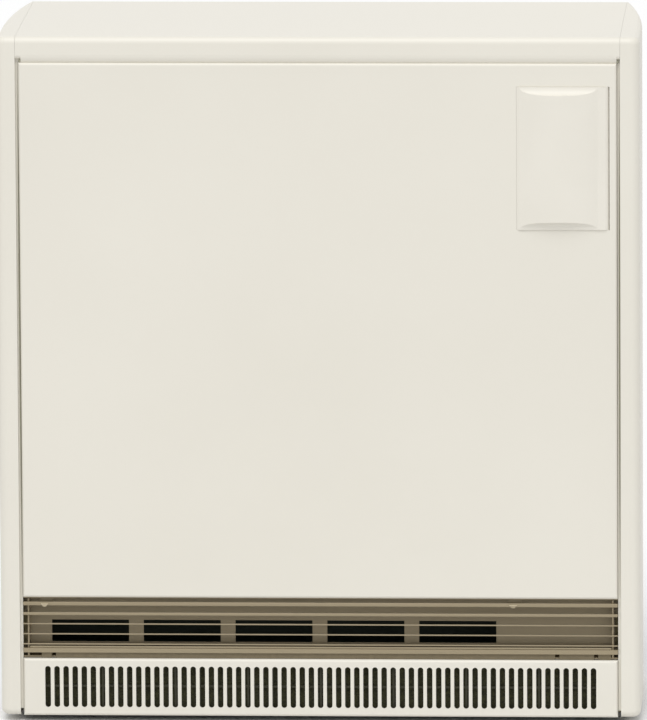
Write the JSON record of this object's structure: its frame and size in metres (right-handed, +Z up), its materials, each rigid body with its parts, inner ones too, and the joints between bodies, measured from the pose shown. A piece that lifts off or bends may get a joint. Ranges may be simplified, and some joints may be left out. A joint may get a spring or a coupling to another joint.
{
  "type": "storage heater",
  "caption": "Upright fan-assisted night storage heater: cream steel casing with bowed sides, hinged control cover, bronze warm-air outlet and slotted inlet grille, around a heated brick core.",
  "frame": {"origin": "on the floor, at the middle of the overall footprint", "axes": "+Z up, +X to the right as seen from the front, +Y back towards the wall"},
  "size_m": [0.605, 0.25, 0.654],
  "materials": {
    "cream_paint": "satin enamel",
    "bronze_paint": "satin bronze enamel",
    "cream_plastic": "moulded, fine grain",
    "galvanised": "galvanised sheet",
    "steel": "plain steel",
    "blued_steel": "heat-blackened sheet",
    "insulation": "pressed fibre board",
    "brick": "dense fired brick",
    "dark_plastic": "moulded",
    "ceramic": "glazed ceramic",
    "copper": "enamelled winding",
    "brass": "plain",
    "filter": "moulded mesh",
    "rubber": "matt",
    "red_plastic": "moulded",
    "bimetal": "rolled strip"
  },
  "bodies": {
    "casing": {"base_tray": "galvanised", "floor_feet": "rubber", "rear_panel": "galvanised", "left_inner_wall": "galvanised", "right_inner_wall": "galvanised", "left_side_panel": "cream_paint", "right_side_panel": "cream_paint", "lid": "cream_paint", "front_panel": "cream_paint", "panel_hangers": "galvanised", "inner_front_wall": "galvanised", "flap_hinge_pin": "steel", "control_box": "cream_plastic", "charge_controller": "dark_plastic", "room_thermostat": "dark_plastic", "outlet_port_plate": "bronze_paint", "outlet_grille": "bronze_paint", "grille_clips": "bronze_paint", "bay_wall": "galvanised", "core_deck": "galvanised", "front_insulation": "insulation", "rear_insulation": "insulation", "left_insulation": "insulation", "right_insulation": "insulation", "base_insulation": "insulation", "top_insulation": "insulation", "storage_bricks": "brick", "heating_elements": "steel", "element_bushes": "ceramic", "element_links": "brass", "core_cover": "galvanised", "core_sensor": "steel", "air_divider": "blued_steel", "damper_brackets": "blued_steel", "bimetal_coil": "bimetal", "fan_guides": "galvanised", "fan_cheeks": "galvanised", "fan_bearing": "rubber", "motor_stator": "steel", "motor_coil": "copper", "motor_mounts": "galvanised", "terminal_block": "dark_plastic", "wiring_loom": "rubber", "safety_cutout": "ceramic", "cable_gland": "dark_plastic"},
    "control_flap": {"control_flap": "cream_plastic"},
    "charge_knob": {"charge_knob": "cream_plastic", "charge_spindle": "steel"},
    "room_knob": {"room_knob": "cream_plastic", "room_spindle": "steel"},
    "fan_rotor": {"fan_impeller": "galvanised", "fan_shaft": "steel", "motor_rotor": "steel"},
    "damper": {"damper_flap": "blued_steel", "damper_shaft": "steel"},
    "reset_button": {"reset_button": "red_plastic"},
    "inlet_grille": {"inlet_grille": "cream_paint", "fluff_filter": "filter"}
  },
  "joints": [
    {"name": "flap_hinge", "type": "hinge", "parent": "casing", "child": "control_flap", "pos_m": [0.269, -0.1142, 0.53975], "axis": [0, 0, 1], "range_deg": [0, 90]},
    {"name": "charge_knob_turn", "type": "hinge", "parent": "casing", "child": "charge_knob", "pos_m": [0.2255, -0.0924, 0.57075], "axis": [0, 1, 0], "range_deg": [-135, 135]},
    {"name": "room_knob_turn", "type": "hinge", "parent": "casing", "child": "room_knob", "pos_m": [0.2255, -0.0924, 0.50875], "axis": [0, 1, 0], "range_deg": [-135, 135]},
    {"name": "fan_spin", "type": "hinge", "parent": "casing", "child": "fan_rotor", "pos_m": [-0.0722, 0.064, 0.055], "axis": [1, 0, 0], "continuous": true},
    {"name": "damper_swing", "type": "hinge", "parent": "casing", "child": "damper", "pos_m": [-0.0578, -0.00615, 0.1095], "axis": [-1, 0, 0], "range_deg": [0, 50]},
    {"name": "reset_press", "type": "slide", "parent": "casing", "child": "reset_button", "axis": [-1, 0, 0], "range_m": [0, 0.002], "stiffness_N_per_m": 500},
    {"name": "inlet_grille_pull", "type": "slide", "parent": "casing", "child": "inlet_grille", "axis": [0, -1, 0], "range_m": [0, 0.06]}
  ]
}
